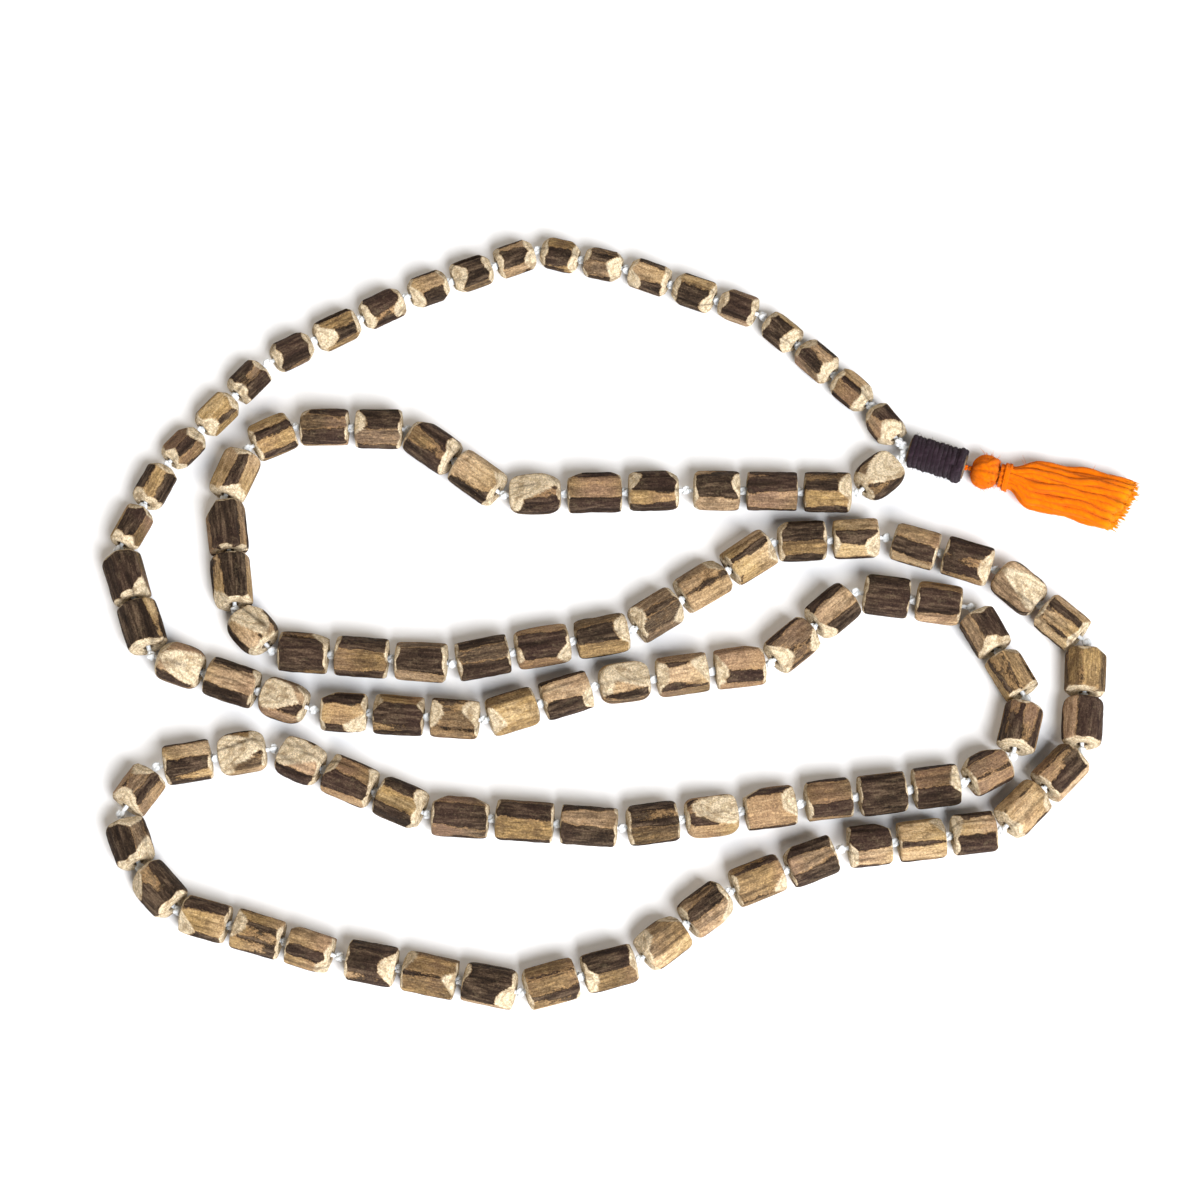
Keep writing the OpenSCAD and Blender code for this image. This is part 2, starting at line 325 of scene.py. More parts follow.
class Builder:
    """Gathers closed parts into one mesh piece, with a mask colour and a grain place per point."""

    def __init__(self):
        self.points = []
        self.faces = []
        self.mask = []
        self.grain = []
        self.count = 0

    def add(self, points, faces, mask, grain):
        self.points.append(points)
        self.faces.append([[index + self.count for index in face] for face in faces])
        self.mask.append(mask)
        self.grain.append(grain)
        self.count += len(points)

    def piece(self, name, material, body, slot, *nodes):
        mesh = bpy.data.meshes.new(name)
        points = np.concatenate(self.points) * MM
        mesh.from_pydata(points.tolist(), [], [face for part in self.faces for face in part])
        mesh.update()
        mesh.validate()
        mask = mesh.attributes.new("mask", "FLOAT_COLOR", "POINT")
        mask.data.foreach_set("color", np.concatenate(self.mask).astype(np.float32).ravel())
        grain = mesh.attributes.new("grain", "FLOAT_VECTOR", "POINT")
        grain.data.foreach_set("vector", np.concatenate(self.grain).astype(np.float32).ravel())
        mesh.materials.append(material)
        mesh.shade_smooth()
        made = bpy.data.objects.new(name, mesh)
        bpy.context.scene.collection.objects.link(made)
        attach(made, body)
        if nodes:
            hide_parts(*nodes)
        return made


def ring_faces(rings, around, closed):
    """Quads between rings of points. closed joins the last ring to the first; else the two
    points after the last ring cap the ends."""
    faces = []
    for i in range(rings if closed else rings - 1):
        low, high = i * around, ((i + 1) % rings) * around
        for j in range(around):
            k = (j + 1) % around
            faces.append([low + j, low + k, high + k, high + j])
    if not closed:
        first, last = rings * around, rings * around + 1
        for j in range(around):
            k = (j + 1) % around
            faces.append([first, k, j])
            faces.append([last, (rings - 1) * around + j, (rings - 1) * around + k])
    return faces


def waves(rng, count, size):
    """Smooth noise of (x, angle): a sum of sines with whole turns round the angle."""
    terms = [
        (rng.uniform(-1, 1) * size, rng.uniform(0.3, 1.4), rng.integers(0, 7), rng.uniform(0, ANY_ANGLE))
        for _ in range(count)
    ]

    def value(x, angle):
        return sum(a * np.sin(f * x + n * angle + p) for a, f, n, p in terms)

    return value


# ---------------------------------------------------------------- CAD solids

def solids(node):
    """The separate solids of a CAD node, each as an array of its points in mm."""
    mesh = frame["nodes"][node].data
    points = np.empty(len(mesh.vertices) * 3)
    mesh.vertices.foreach_get("co", points)
    points = points.reshape(-1, 3) / MM
    _, same = np.unique(np.round(points, 4), axis=0, return_inverse=True)
    same = same.ravel()
    parent = list(range(same.max() + 1))

    def root(i):
        while parent[i] != i:
            parent[i] = parent[parent[i]]
            i = parent[i]
        return i

    for polygon in mesh.polygons:
        ends = [root(same[v]) for v in polygon.vertices]
        for end in ends[1:]:
            parent[root(end)] = root(ends[0])
    roots = np.array([root(i) for i in same])
    return [points[roots == r] for r in sorted(set(roots.tolist()))]


def unit(v):
    v = np.asarray(v, float)
    return v / np.linalg.norm(v)


def reach(points, origin, direction):
    """Lowest and highest distance along a line, and the lowest and highest distance from it."""
    along = (points - origin) @ direction
    off = np.linalg.norm(points - origin - np.outer(along, direction), axis=1)
    return along.min(), along.max(), off.min(), off.max()


# ---------------------------------------------------------------- beads

AROUND = 72
BORE = 1.0
SOFTNESS = 24
FACET_BLEND = 0.1
INNER_REACH = 0.4
OUTER_REACH = 0.15
SMALL_BEADS = 20
BROAD_GIRTH = 1.06
BROAD_CUTS = {23, 25, 31, 46, 53, 54, 79, 93, 102, 108}
ANGLES = np.linspace(0, 2 * np.pi, AROUND, endpoint=False)


def lengthways(length):
    """Places of the rings along a bead, closer together at its two whittled ends."""
    near = np.linspace(0.0, 1.5, 9)
    middle = np.linspace(1.5, length - 1.5, 15)[1:-1]
    return np.concatenate([near, middle, length - near[::-1]])


def plane(normal, offset, x, angle):
    """Distance from the axis to a plane, in each direction round the axis; far where it never meets."""
    facing = normal[1] * np.cos(angle) + normal[2] * np.sin(angle)
    rise = offset - normal[0] * x
    with np.errstate(divide="ignore", invalid="ignore"):
        return np.where(facing > 0.02, np.maximum(rise, 0.01) / np.maximum(facing, 0.02), 1e3)


def soft_min(stack):
    stack = np.maximum(stack, 0.05)
    return np.sum(stack ** -SOFTNESS, axis=0) ** (-1.0 / SOFTNESS)


def side_cuts(rng, flat, style, girth):
    """Knife cuts along the bead: normals and offsets. The first is the flat it lies on."""
    count = {"bark": rng.integers(2, 4), "mixed": rng.integers(3, 6), "bare": rng.integers(5, 8)}[style]
    start = rng.uniform(0, 2 * np.pi)
    cuts = [((0.0, 0.0, -1.0), flat)]
    for i in range(count):
        angle = start + 2 * np.pi * (i + rng.uniform(-0.25, 0.25)) / count
        lean = rng.uniform(-0.05, 0.05)
        depth = girth * flat * (rng.uniform(0.86, 0.96) if style != "bare" else rng.uniform(0.9, 0.98))
        cuts.append(((lean, math.cos(angle), math.sin(angle)), depth))
    return cuts


def slanted(side, tilt, angle):
    """Unit normal that leans from straight out at an angle round the bead towards one end."""
    return (side * math.sin(tilt), math.cos(tilt) * math.cos(angle), math.cos(tilt) * math.sin(angle))


def end_cuts(rng, flat, length, number, free):
    """Knife cuts that take the rim off the two ends, and one long slanted cut at one of them.
    free tells for each end whether the strand bends there, which needs a smaller end."""
    cuts = []
    for side, place, bends in ((-1.0, 0.0, free[0]), (1.0, length, free[1])):
        count = rng.integers(5, 8)
        start = rng.uniform(0, 2 * np.pi)
        if number <= SMALL_BEADS:
            face, steep = flat * rng.uniform(0.5, 0.66), (34, 52)
        else:
            face, steep = flat * (rng.uniform(0.68, 0.79) if bends else rng.uniform(0.72, 0.9)), (42, 66)
        for i in range(count):
            angle = start + 2 * np.pi * (i + rng.uniform(-0.2, 0.2)) / count
            tilt = math.radians(rng.uniform(*steep))
            here = face * rng.uniform(0.95, 1.05)
            cuts.append((slanted(side, tilt, angle), here * math.cos(tilt) + math.sin(tilt) * side * place))
        if rng.random() < 0.45:
            angle = rng.uniform(0.15, math.pi - 0.15)
            tilt = math.radians(rng.uniform(24, 40))
            here = face * rng.uniform(0.68, 0.86)
            cuts.append((slanted(side, tilt, angle), here * math.cos(tilt) + math.sin(tilt) * side * place))
    if number in BROAD_CUTS:
        side = rng.choice([-1.0, 1.0])
        place = length * (0.5 - 0.3 * side)
        tilt = math.radians(rng.uniform(13, 18))
        angle = math.pi / 2 + rng.uniform(-0.35, 0.35)
        offset = flat * 0.96 * math.cos(tilt) + side * math.sin(tilt) * place
        cuts.append((slanted(side, tilt, angle), offset))
    return cuts


def fissures(rng, style):
    """Grooves along the bark: place round the bead, width, depth, wander and where they stop."""
    count = {"bark": rng.integers(4, 9), "mixed": rng.integers(3, 8), "bare": rng.integers(0, 4)}[style]
    return [
        (rng.uniform(0, 2 * np.pi), rng.uniform(0.07, 0.15), rng.uniform(0.2, 0.55),
         rng.uniform(-0.05, 0.05), rng.uniform(-0.3, 0.45), rng.uniform(0.55, 1.3))
        for _ in range(count)
    ]


def groove_depth(grooves, x, angle, length):
    depth = np.zeros(np.broadcast(x, angle).shape)
    for place, width, deep, wander, low, high in grooves:
        off = (angle - place - wander * np.sin(0.9 * x) + np.pi) % (2 * np.pi) - np.pi
        share = x / length
        gate = 1 / (1 + np.exp(-(share - low) * 22)) / (1 + np.exp((share - high) * 22))
        depth = np.maximum(depth, deep * np.exp(-(off / width) ** 2) * gate)
    return depth


def add_bead(builder, number, start, axis, length, flat, corner, free):
    """One whittled bead: a stem of bark with knife cuts along it and round its ends, drilled through."""
    rng = np.random.default_rng(1000 + number)
    style = rng.choice(["bark", "mixed", "bare"], p=[0.42, 0.38, 0.20])
    if number in BROAD_CUTS:
        style = "mixed"
    girth = BROAD_GIRTH if number in BROAD_CUTS else 1.0
    x = lengthways(length)[:, None]
    angle = ANGLES[None, :]
    sides = [plane(n, d, x, angle) for n, d in side_cuts(rng, flat, style, girth)]
    ends = [plane(n, d, x, angle) for n, d in end_cuts(rng, flat, length, number, free)]
    grooves = fissures(rng, style)
    groove = groove_depth(grooves, x, angle, length)
    lumps = waves(rng, 9, 0.026)(x, angle)
    swell = 1 + 0.03 * np.sin(2 * angle + rng.uniform(0, ANY_ANGLE))
    swell = swell + 0.02 * np.sin(3 * angle + rng.uniform(0, ANY_ANGLE))
    stem = girth * flat * rng.uniform(0.99, 1.04) * swell + lumps
    cut_side, cut_end = soft_min(np.array(sides)), soft_min(np.array(ends))
    if number in BROAD_CUTS:
        power, least = rng.uniform(2.1, 2.7), 0.4
    else:
        power, least = rng.uniform(3.4, 7.0), 0.56
    barrel = least + (1 - least) * (1 - np.abs(2 * x / length - 1) ** power) ** (1 / power)
    barrel = 1.03 * girth * flat * barrel + 0 * angle
    cut = np.minimum(cut_side, cut_end)
    rough = waves(rng, 14, 0.016)(2.2 * x, 3 * angle)
    limits = [stem - groove + rough, cut_side + 0.25 * lumps, cut_end, barrel - 0.5 * groove]
    radius = soft_min(np.array(limits))
    bark = np.clip(0.5 + (cut - stem) / 0.42, 0, 1)
    cut_share = np.clip(0.5 + (np.minimum(cut_side, stem) - cut_end) / 0.12, 0, 1)
    lowest = np.where(np.sin(angle) < -0.02, flat / np.maximum(-np.sin(angle), 0.02), 1e3)
    radius = np.clip(np.minimum(np.minimum(radius, corner), lowest), BORE + 0.3, None)

    dish = rng.uniform(0.0, 0.25)
    rings, masks = [], []
    facets = np.array(sides)
    share = np.exp((facets.min(axis=0) - facets) / FACET_BLEND)
    facet_tones = np.clip(rng.uniform(0, 1) * 0.35 + rng.uniform(0.0, 0.6, len(sides)), 0, 1)
    tone = np.tensordot(facet_tones, share, 1) / share.sum(axis=0)

    def ring(place, size, bark_share, groove_and_bore_shade, cut_value, tone_value=0.4):
        place = np.broadcast_to(place, (AROUND,))
        size = np.broadcast_to(size, (AROUND,))
        rings.append(np.stack([place, size * np.cos(ANGLES), size * np.sin(ANGLES)], axis=1))
        mask = np.stack(np.broadcast_arrays(bark_share, groove_and_bore_shade, cut_value, tone_value), axis=-1)
        masks.append(np.broadcast_to(mask, (AROUND, 4)))

    for share in (0.0, 0.35, 0.7):
        sunk = dish * (1 - share)
        ring(sunk, BORE + 0.06 + (radius[0] - BORE - 0.06) * share, 0.0, 0.0, 1.0)
    for i in range(len(x)):
        # groove depth / 0.6 sets the painted shade in the grooves
        ring(x[i], radius[i], bark[i], groove[i] / 0.6, cut_share[i], tone[i])
    for share in (0.7, 0.35, 0.0):
        sunk = dish * (1 - share)
        ring(length - sunk, BORE + 0.06 + (radius[-1] - BORE - 0.06) * share, 0.0, 0.0, 1.0)
    # The bore wall, with painted shade of 0.6 in the groove channel
    for share in (0.96, 0.5, 0.04):
        ring(length * share, BORE, 0.0, 0.6, 0.4)
    local = np.concatenate(rings)
    across = unit(np.cross((0, 0, 1), axis))
    up = np.cross(axis, across)
    points = start + local @ np.array([axis, across, up])
    shift = np.array([37.0 * number, 0.0, 0.0])
    builder.add(points, ring_faces(len(rings), AROUND, True), np.concatenate(masks), local + shift)


def bead_runs(material):
    for joint_name, joint in JOINTS.items():
        if not joint_name.startswith("turn_"):
            continue
        node = joint["child"]
        first = int(node.split("_")[1])
        origin = np.array(joint["pos_m"]) / MM
        axis = unit(joint["axis"])
        spans = sorted((*reach(solid, origin, axis), solid[:, 2].min()) for solid in solids(node))
        builder = Builder()
        for i, (low, high, _, corner, bottom) in enumerate(spans):
            middle = origin + axis * (low + high) / 2
            flat = min(middle[2] - bottom, corner * math.cos(math.pi / 9))
            free = (i == 0, i == len(spans) - 1)
            low -= OUTER_REACH if free[0] else INNER_REACH
            high += OUTER_REACH if free[1] else INNER_REACH
            add_bead(builder, first + i, origin + axis * low, axis, high - low, flat, corner, free)
        builder.piece(node.replace("bead", "wood_bead"), material, BODY_OF_NODE[node], "bead_wood", node)


# ---------------------------------------------------------------- thread

def frames_along(path):
    """Two directions across a path at each of its points, without sudden turns."""
    tangents = np.gradient(path, axis=0)
    tangents /= np.linalg.norm(tangents, axis=1)[:, None]
    side = unit(np.cross(tangents[0], (0.31, 0.17, 0.93)))
    sides = []
    for tangent in tangents:
        side = unit(side - tangent * (side @ tangent))
        sides.append(side)
    sides = np.array(sides)
    return sides, np.cross(tangents, sides)


def add_yarn(builder, path, radius, pitch, plies, ply_depth, around=12, tip=None, tone=0.0, seed=0.0,
             shade=1.0):
    """A twisted yarn along a path in mm: its plies show as a spiral. tip is how far each point is
    towards a cut end, from 0 to 1, and shade how dark the painted shade in the hollows between the plies is."""
    path = np.asarray(path, float)
    count = len(path)
    radius = np.broadcast_to(radius, (count,))
    tip = np.zeros(count) if tip is None else tip
    steps = np.linalg.norm(np.diff(path, axis=0), axis=1)
    along = np.concatenate([[0], np.cumsum(steps)])
    sides, ups = frames_along(path)
    angle = np.linspace(0, 2 * np.pi, around, endpoint=False)[None, :]
    twist = plies * (angle - 2 * np.pi * along[:, None] / pitch)
    lobe = np.abs(np.cos(twist / 2 + seed)) ** 0.8
    size = radius[:, None] * (1 - ply_depth + ply_depth * lobe)
    rings = (path[:, None, :] + size[..., None] * (np.cos(angle)[..., None] * sides[:, None, :]
             + np.sin(angle)[..., None] * ups[:, None, :]))
    points = np.concatenate([rings.reshape(-1, 3), path[:1], path[-1:]])
    # Painted shade: darkest in the hollows between the plies, full on the start cap, 0.3 on the end cap
    painted_hollow_shade = shade * np.concatenate([(1 - lobe).ravel() ** 2, [1.0, 0.3]])
    tips = np.concatenate([np.repeat(tip, around), [tip[0], tip[-1]]])
    tones = np.full(len(points), tone)
    mask = np.stack([painted_hollow_shade, tips, tones, tones], axis=1)
    turns = (twist / plies * radius[:, None]).ravel()
    grain = np.stack([np.repeat(along, around), turns, np.full(turns.size, 9.0 * seed)], axis=1)
    grain = np.concatenate([grain, [[0, 0, 9.0 * seed], [along[-1], 0, 9.0 * seed]]])
    builder.add(points, ring_faces(count, around, False), mask, grain)


def knot_path(centre, direction, size, rng):
    """A tight overhand knot: a trefoil, flattened a little and turned at random about the thread."""
    t = np.linspace(0, 2 * np.pi, 57)[:-1]
    loop = np.stack(
        [2.1 * np.sin(3 * t), np.sin(t) + 2 * np.sin(2 * t), np.cos(t) - 2 * np.cos(2 * t)], axis=1
    )
    loop *= size / 3.0
    turn = rng.uniform(0, 2 * np.pi)
    side = unit(np.cross(direction, (0.2, 0.1, 0.97)))
    up = np.cross(direction, side)
    side, up = math.cos(turn) * side + math.sin(turn) * up, math.cos(turn) * up - math.sin(turn) * side
    return centre + loop @ np.array([direction, side, up])


def add_loop(builder, path, radius, around=8, seed=0.0):
    """A closed round of thread, such as one knot."""
    count = len(path)
    tangents = unit_rows(np.roll(path, -1, axis=0) - np.roll(path, 1, axis=0))
    middle = path.mean(axis=0)
    sides = unit_rows(np.cross(tangents, path - middle))
    ups = np.cross(tangents, sides)
    angle = np.linspace(0, 2 * np.pi, around, endpoint=False)
    lobe = 1 - 0.12 * np.abs(np.sin(angle[None, :] + 0.7 * np.arange(count)[:, None]))
    rings = path[:, None, :] + radius * lobe[..., None] * (
        np.cos(angle)[None, :, None] * sides[:, None, :] + np.sin(angle)[None, :, None] * ups[:, None, :])
    points = rings.reshape(-1, 3)
    # Painted shade in the dips of the thread's lobes
    painted_hollow_shade = np.clip((1 - lobe).ravel() * 6, 0, 1)
    mask = np.stack([painted_hollow_shade, 0 * painted_hollow_shade, 0 * painted_hollow_shade, 0 * painted_hollow_shade], axis=1)
    grain = points + 5.0 * seed
    builder.add(points, ring_faces(count, around, True), mask, grain)


def unit_rows(rows):
    return rows / np.linalg.norm(rows, axis=1)[:, None]


THREAD_NODES = (
    "thread_main", "thread_guru_end", "thread_left_lobe", "thread_right_lobe", "thread_lower_lobe"
)
THREAD_RADIUS = 0.42
KNOT_RADIUS = 0.85
KNOT_REACH = 0.95
LONGEST_KNOT = 2.5


def threads(material):
    rng = np.random.default_rng(5)
    for node in THREAD_NODES:
        builder = Builder()
        bars, balls = [], []
        for solid in solids(node):
            middle = (solid.min(axis=0) + solid.max(axis=0)) / 2
            if (solid.max(axis=0) - solid.min(axis=0)).max() < LONGEST_KNOT:
                balls.append(middle)
                continue
            _, _, turn = np.linalg.svd(solid - solid.mean(axis=0), full_matrices=False)
            low, high, _, width = reach(solid, middle, turn[0])
            bars.append((middle + turn[0] * low, middle + turn[0] * high, turn[0], width))
        for start, end, _, width in bars:
            length = np.linalg.norm(end - start)
            extra = KNOT_REACH if width < 0.6 else 0.0
            places = np.linspace(-extra, length + extra, max(4, int(length / 0.45)))
            path = start + places[:, None] * unit(end - start)
            add_yarn(builder, path, THREAD_RADIUS * width / 0.45, 2.4, 2, 0.22, 10, seed=rng.uniform(0, 3))
        for ball in balls:
            nearest = min(bars, key=lambda b: min(np.linalg.norm(b[0] - ball), np.linalg.norm(b[1] - ball)))
            path = knot_path(ball, nearest[2], KNOT_RADIUS - 0.32, rng)
            add_loop(builder, path, rng.uniform(0.40, 0.45), seed=rng.uniform(0, 9))
        builder.piece(node.replace("thread", "cotton"), material, BODY_OF_NODE[node], "cotton_thread", node)


# ---------------------------------------------------------------- guru

SWIVEL = np.array(JOINTS["tassel_swing"]["pos_m"]) / MM
UP = np.array([0.0, 0.0, 1.0])


WINDING_THREAD_RADIUS = 0.6
WINDING_TURNS = 11.5
COLLAR_TURNS = 1.7
# Width of the collar, in radii of its thread
COLLAR_WIDTH = 2.9


def guru_winding(material):
    """Dark thread in close turns, with a second layer of two turns for the collar."""
    rng = np.random.default_rng(8)
    solid = solids("guru_winding")[0]
    core = solids("guru_core")[0]
    axis = unit(SWIVEL - core.mean(axis=0)) * (1, 1, 0)
    axis = unit(axis)
    low, high, _, outer = reach(solid, SWIVEL, axis)
    crest = reach(solid[(solid - SWIVEL) @ axis < low + 3], SWIVEL, axis)[3]
    side = np.cross(UP, axis)
    builder = Builder()

    def coil(start, end, turns, radius, thick, seed):
        t = np.linspace(0, 1, int(turns * 26) + 1)
        angle = 2 * np.pi * turns * t + seed
        wobble = 0.05 * np.sin(2.3 * angle + seed) + 0.04 * np.sin(0.37 * angle)
        place = start + (end - start) * t + 0.06 * np.sin(angle * 1.7 + seed)
        size = radius + wobble
        path = SWIVEL + (place[:, None] * axis + (size * np.cos(angle))[:, None] * side
                         + (size * np.sin(angle))[:, None] * UP)
        add_yarn(builder, path, thick, 1.3, 3, 0.14, 12, seed=seed)

    thick = WINDING_THREAD_RADIUS
    coil(low + thick, high - thick, WINDING_TURNS, crest - thick, thick, 0.4)
    coil(high - COLLAR_WIDTH * thick, high - thick, COLLAR_TURNS, outer - thick, thick, 2.1)
    coil(low + 2.2, low + 6.0, 1.3, crest - thick + 0.16, 0.3, 4.0)

    def spot():
        return surface_spot(rng, SWIVEL, axis, side, low, high, crest)

    add_fuzz(builder, 130, rng, spot, 0.4, 1.0, 0.03)
    builder.piece("winding", material, BODY_OF_NODE["guru_winding"], "guru_thread", "guru_winding")


def surface_spot(rng, origin, axis, side, low, high, radius):
    """A random place on a round surface, and the outward direction there."""
    angle = rng.uniform(0, 2 * np.pi)
    out = math.cos(angle) * side + math.sin(angle) * UP
    return origin + rng.uniform(low, high) * axis + (radius - 0.1) * out, out


def add_fuzz(builder, count, rng, spot, shortest, longest, thick):
    """Loose fibres that stand out of yarn, as fine closed tubes."""
    for _ in range(count):
        start, out = spot()
        lean = unit(out + rng.normal(0, 0.75, 3))
        bend = rng.normal(0, 0.6, 3)
        length = rng.uniform(shortest, longest)
        t = np.linspace(0, 1, 5)[:, None]
        path = start + length * (t * lean + 0.5 * t * t * bend)
        path[:, 2] = np.maximum(path[:, 2], 0.05)
        add_yarn(builder, path, thick * np.array([1, 1, 0.9, 0.7, 0.3]), 50.0, 1, 0.0, 3,
                 tip=np.full(5, 0.25), seed=rng.uniform(0, 3))


# ---------------------------------------------------------------- tassel

TILT = JOINTS["tassel_tilt"]["axis"]
TASSEL = unit((-TILT[1], TILT[0], 0.0))
ACROSS = np.cross(UP, TASSEL)


def in_tassel(along, across, up):
    """A place in the tassel's own directions, from the swivel, in mm."""
    return (SWIVEL + np.multiply.outer(along, TASSEL) + np.multiply.outer(across, ACROSS)
            + np.multiply.outer(up, UP))


# Where the crease lies round the ball and how deep; its depth also sets the painted shade in it
CREASE_ANGLE = math.radians(62)
CREASE_DEPTH = 0.75
HEAD_YARNS = 8
HEAD_YARN_RADIUS = 1.5
LOOP_YARN_RADIUS = 0.3


def tassel_head(material):
    """A ball of yarns laid over one another from the loop round to the neck."""
    rng = np.random.default_rng(21)
    ball = max(solids("tassel_head"), key=len)
    _, high, _, radius = reach(ball, SWIVEL, TASSEL)
    centre = high - radius
    builder = Builder()
    count = HEAD_YARNS
    thick = HEAD_YARN_RADIUS
    for i in range(count):
        t = np.linspace(0.04, 0.90, 22) * np.pi
        around = 2 * np.pi * (i + rng.uniform(-0.18, 0.18)) / count + 0.35 * np.sin(t + i)
        # The crease pulls yarns inwards and darkens their tone by 1.5 times its depth: painted shade in the
        # crease
        crease = CREASE_DEPTH * math.exp(-((2 * math.pi * i / count - CREASE_ANGLE) / 0.4) ** 2)
        size = radius - thick * 0.88 + rng.uniform(-0.18, 0.1) - crease
        along = centre - size * np.cos(t)
        out = size * np.sin(t)
        path = in_tassel(along, out * np.cos(around), out * np.sin(around))
        add_yarn(builder, path, thick * (0.5 + 0.5 * np.sin(t)), 4.0, 3, 0.07, 16,
                 tone=rng.uniform(0, 0.6) + 1.5 * crease, seed=rng.uniform(0, 3), shade=0.4)
    # Core yarn inside the ball, tone 0.9: painted shade where it shows between the yarns
    t = np.linspace(0.02, 0.98, 16) * np.pi
    inside = radius - thick
    path = in_tassel(centre - inside * np.cos(t), 0 * t, 0 * t)
    add_yarn(builder, path, inside * np.sin(t), 9.0, 3, 0.05, 20, tone=0.9)
    for side in (-1, 1):
        t = np.linspace(0, 1, 12)
        path = in_tassel(0.6 + 1.5 * t, side * (0.05 + 0.5 * t), 0.12 * np.sin(3 * t))
        add_yarn(builder, path, LOOP_YARN_RADIUS, 2.2, 2, 0.1, 10, tone=0.5, seed=side + 1.0)

    def spot():
        out = unit(rng.normal(0, 1, 3))
        while out @ TASSEL < -0.3:
            out = unit(rng.normal(0, 1, 3))
        return in_tassel(centre, 0.0, 0.0) + (radius - 0.15) * out, out

    t = np.linspace(0, 2 * np.pi, 60)
    size = radius - 0.55
    path = in_tassel(centre + 0.4 + size * (0.62 * np.cos(t) - 0.1), size * (0.78 * np.cos(t) + 0.1),
                     size * np.sin(t) * 0.98)
    add_yarn(builder, path, 0.62, 4.0, 2, 0.08, 12, tone=0.25, shade=0.4)
    add_fuzz(builder, 220, rng, spot, 0.4, 1.2, 0.035)
    builder.piece("tassel_ball", material, BODY_OF_NODE["tassel_head"], "tassel_wool", "tassel_head")


TIE_TURNS = 3.2
TIE_THREAD_RADIUS = 0.3
SWIVEL_KNOT_SIZE = 0.36
SWIVEL_THREAD_RADIUS = 0.24


def tassel_tie(material):
    """A few turns of thread that bind the neck."""
    solid = solids("tassel_tie")[0]
    low, high, _, outer = reach(solid, SWIVEL, TASSEL)
    builder = Builder()
    thick = TIE_THREAD_RADIUS
    t = np.linspace(0, 1, 90)
    angle = 2 * np.pi * TIE_TURNS * t
    size = outer - thick + 0.06 * np.sin(1.7 * angle)
    path = in_tassel(low + thick * 0.5 + (high - low - thick) * t, size * np.cos(angle), size * np.sin(angle))
    add_yarn(builder, path, thick, 1.8, 2, 0.1, 10, shade=0.4)
    builder.piece("neck_binding", material, BODY_OF_NODE["tassel_tie"], "tassel_tie", "tassel_tie")


def tassel_knot(material):
    """The small knot in the guru's end, about which the tassel swings."""
    rng = np.random.default_rng(4)
    builder = Builder()
    add_loop(builder, knot_path(SWIVEL, TASSEL, SWIVEL_KNOT_SIZE, rng), SWIVEL_THREAD_RADIUS)
    builder.piece("swivel_knot", material, BODY_OF_NODE["tassel_knot"], "tassel_tie", "tassel_knot")


def disc_spots(count):
    """Places spread evenly over a unit disc, from the middle outwards."""
    golden = math.pi * (3 - math.sqrt(5))
    spots = []
    for i in range(count):
        out = math.sqrt((i + 0.5) / count)
        spots.append((out * math.cos(i * golden), out * math.sin(i * golden)))
    return spots


SKIRT_YARNS = 46
SKIRT_YARN_RADIUS = 0.84
BOUND_YARN_RADIUS = 0.46
TIP_HAIRS = 9


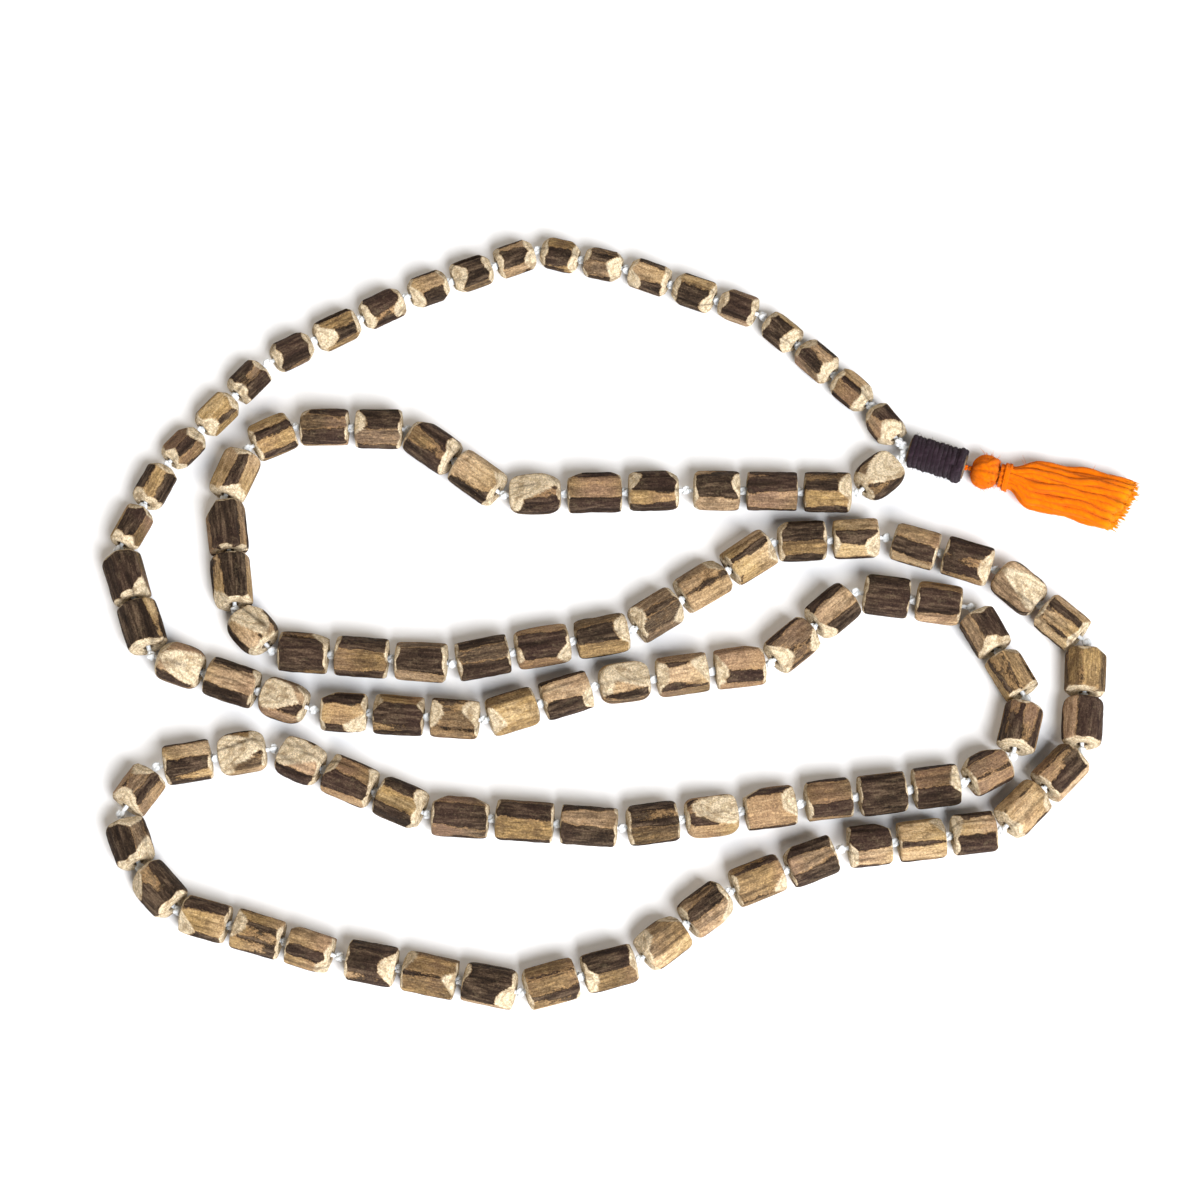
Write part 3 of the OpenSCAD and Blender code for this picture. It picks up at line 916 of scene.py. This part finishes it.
def tassel_skirt(material):
    """Plied yarns from the tie to a slanting, ragged cut, lying flat on the surface."""
    rng = np.random.default_rng(33)
    solid = np.concatenate(solids("tassel_skirt"))
    low, high, _, _ = reach(solid, SWIVEL, TASSEL)
    across = (solid - SWIVEL) @ ACROSS
    half_width = (across.max() - across.min()) / 2
    top = solid[:, 2].max()
    _, tie_high, neck, _ = reach(solids("tassel_tie")[0], SWIVEL, TASSEL)
    start, flare = low - 0.6, tie_high + 0.4
    rest = SWIVEL[2]
    builder = Builder()
    thick = SKIRT_YARN_RADIUS
    for u, v in disc_spots(SKIRT_YARNS):
        edge = (high - 0.2) + 0.25 * (u * half_width) - 1.5 + rng.uniform(-0.9, 0.6)
        along = np.linspace(start, edge, 44)
        open_share = np.clip((along - flare) / 4.2, 0, 1)
        open_share = open_share * open_share * (3 - 2 * open_share)
        late = np.clip((along - flare) / (high - flare), 0, 1)
        bundle = neck - 0.3
        wide = bundle + (half_width * (0.85 + 0.15 * late) - thick - bundle) * open_share
        tall = bundle + (top / 2 - thick - bundle) * open_share
        middle = rest + (top / 2 - 0.12 - rest) * open_share
        sway = 0.32 * np.sin(0.32 * along + rng.uniform(0, ANY_ANGLE))
        sway = sway + 0.16 * np.sin(0.8 * along + rng.uniform(0, ANY_ANGLE))
        lift = 0.18 * np.sin(0.45 * along + rng.uniform(0, ANY_ANGLE))
        size = BOUND_YARN_RADIUS + (thick - BOUND_YARN_RADIUS) * np.clip((along - flare + 1.0) / 6.0, 0, 1)
        size = size * (1 + 0.05 * np.sin(1.1 * along + rng.uniform(0, ANY_ANGLE)))
        size[-1] *= 0.72
        height = middle + tall * v + lift * open_share
        height = np.maximum(height, size + 0.02)
        path = in_tassel(along, wide * u + sway * open_share, height - rest)
        tip = np.clip((along - edge + 3.2) / 3.2, 0, 1) ** 2
        add_yarn(builder, path, size, 4.4 + rng.uniform(-0.6, 0.6), 2, 0.09, 14, tip=tip,
                 tone=rng.uniform(0, 1) ** 2, seed=rng.uniform(0, 3), shade=0.3)
        ahead = unit(path[-1] - path[-4])
        for _ in range(TIP_HAIRS):
            side = unit(rng.normal(0, 1, 3))
            begin = path[-1] - 0.5 * ahead + 0.55 * size[-2] * side
            t = np.linspace(0, 1, 5)[:, None]
            hair = begin + rng.uniform(0.8, 1.7) * t * unit(ahead + 0.35 * side)
            hair[:, 2] = np.maximum(hair[:, 2], 0.08)
            add_yarn(builder, hair, np.array([0.12, 0.12, 0.1, 0.08, 0.03]), 3.0, 1, 0.0, 5,
                     tip=np.ones(5), seed=rng.uniform(0, 3))
    paths = [part for part in builder.points if len(part) > 400]

    def spot():
        part = paths[rng.integers(len(paths))]
        place = part[rng.integers(len(part))]
        out = place - in_tassel((place - SWIVEL) @ TASSEL, 0.0, 0.0)
        return place, unit(out + (0, 0, 0.001))

    add_fuzz(builder, 520, rng, spot, 0.5, 1.8, 0.034)
    builder.piece("skirt_yarns", material, BODY_OF_NODE["tassel_skirt"], "tassel_wool", "tassel_skirt")


# ---------------------------------------------------------------- stage

# Half the floor's side. Further out the lights would leave it dark in low views
FLOOR_REACH = 0.8


def make_floor():
    mesh = bpy.data.meshes.new("floor")
    half = FLOOR_REACH
    corners = [(-half, -half, 0), (half, -half, 0), (half, half, 0), (-half, half, 0)]
    mesh.from_pydata(corners, [], [(0, 1, 2, 3)])
    mesh.materials.append(floor_material())
    floor = bpy.data.objects.new("floor", mesh)
    bpy.context.scene.collection.objects.link(floor)


make_camera()
make_light()
make_floor()
WOOL = yarn_material("orange_wool", (0.64, 0.105, 0.0), (0.80, 0.165, 0.0), (0.93, 0.235, 0.0),
                     (0.98, 0.31, 0.002), 0.00035, 1.0, 0.04)
TIE = yarn_material("tie_wool", (0.45, 0.05, 0.0), (0.76, 0.15, 0.0), (0.9, 0.22, 0.002),
                    (1.0, 0.30, 0.004), 0.00025, 1.2, 0.04)
COTTON = yarn_material("white_cotton", (0.52, 0.55, 0.57), (0.84, 0.87, 0.89), (0.95, 0.96, 0.97),
                       (0.95, 0.96, 0.97), 0.00012, 2.0, 0.1)
DARK = yarn_material("dark_winding", (0.006, 0.003, 0.005), (0.024, 0.012, 0.019), (0.075, 0.045, 0.062),
                     (0.09, 0.06, 0.075), 0.0003, 1.6, 0.06)
bead_runs(bead_material())
threads(COTTON)
guru_winding(DARK)
tassel_head(WOOL)
tassel_tie(TIE)
tassel_knot(TIE)
tassel_skirt(WOOL)
core = frame["nodes"]["guru_core"]
core.data.materials.clear()
core.data.materials.append(core_material())
